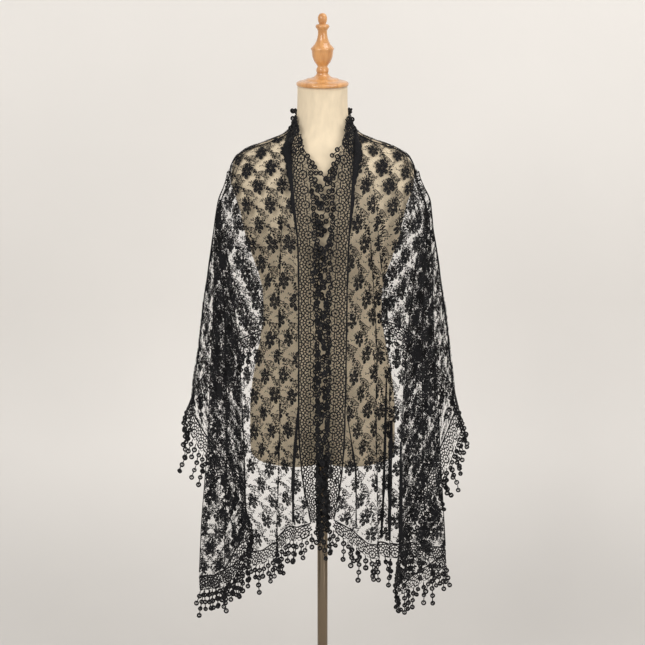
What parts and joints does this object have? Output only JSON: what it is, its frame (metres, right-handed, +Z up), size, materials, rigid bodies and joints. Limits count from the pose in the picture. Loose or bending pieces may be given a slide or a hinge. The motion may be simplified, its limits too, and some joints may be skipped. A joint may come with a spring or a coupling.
{
  "type": "lace shawl on dress form",
  "caption": "Fringed rectangular lace shawl worn round the neck with both ends in front, on a limbless dress form with turned cap and pole stand.",
  "frame": {"origin": "centre of the stand base's underside, on the floor", "axes": "+Z up the pole, -Y towards the front of the form, +X towards the right of the picture"},
  "size_m": [0.5687, 0.35, 1.6005],
  "materials": {
    "linen": "plain woven linen cover",
    "wood": "varnished",
    "metal": "bronze satin",
    "lace": "machine lace",
    "trim": "corded guipure lace"
  },
  "bodies": {
    "root": {"form_torso": "linen", "form_neck_cap": "wood", "stand_pole": "metal", "stand_base": "metal", "front_left": "lace", "front_right": "lace", "back": "lace", "trim_front_left": "trim", "trim_front_right": "trim", "trim_neck": "trim", "trim_hem_left": "trim", "trim_hem_right": "trim", "trim_side_left": "trim", "trim_side_right": "trim", "trim_back": "trim", "fringe_front_left": "trim", "fringe_front_right": "trim", "fringe_neck": "trim", "fringe_hem_left": "trim", "fringe_hem_right": "trim", "fringe_side_left": "trim", "fringe_side_right": "trim", "fringe_back": "trim"}
  },
  "joints": []
}
